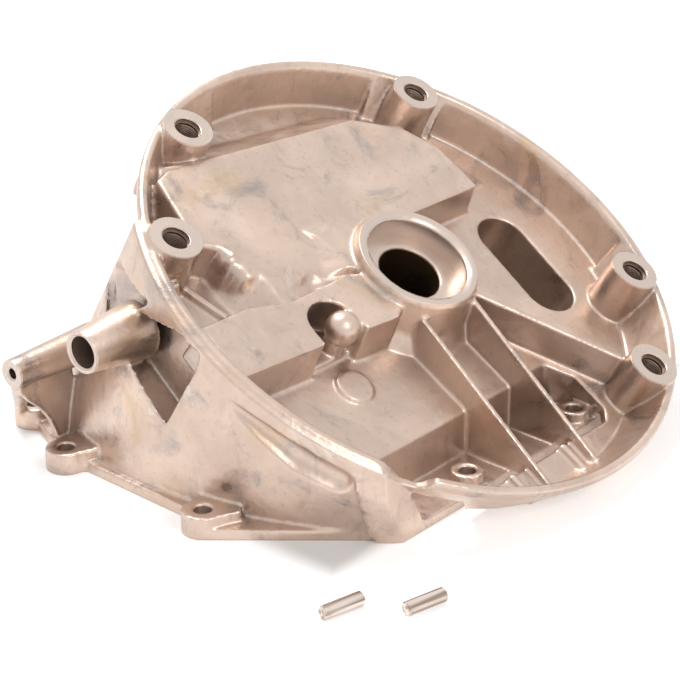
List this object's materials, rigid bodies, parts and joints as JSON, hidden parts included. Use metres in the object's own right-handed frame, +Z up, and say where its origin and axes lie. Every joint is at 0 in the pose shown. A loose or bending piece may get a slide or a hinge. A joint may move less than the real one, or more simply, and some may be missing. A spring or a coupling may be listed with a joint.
{
  "type": "engine crankcase half",
  "caption": "Aluminium lower crankcase half of a small vertical-shaft engine, with a tilted round mounting face, and its two loose dowel pins.",
  "frame": {"origin": "where the crankshaft axis crosses the plane of the mounting pads", "axes": "+Z up from the split face, which is level; +X towards the low edge of the round face, whose crankshaft axis leans 30 degrees from +Z towards +X; +Y across"},
  "size_m": [0.2164, 0.2642, 0.1245],
  "materials": {
    "cast_aluminium": "die cast, satin, with machined mating faces",
    "pin_steel": "ground"
  },
  "bodies": {
    "root": {"crankcase": "cast_aluminium", "dowel_pin_left": "pin_steel", "dowel_pin_right": "pin_steel"}
  },
  "joints": []
}
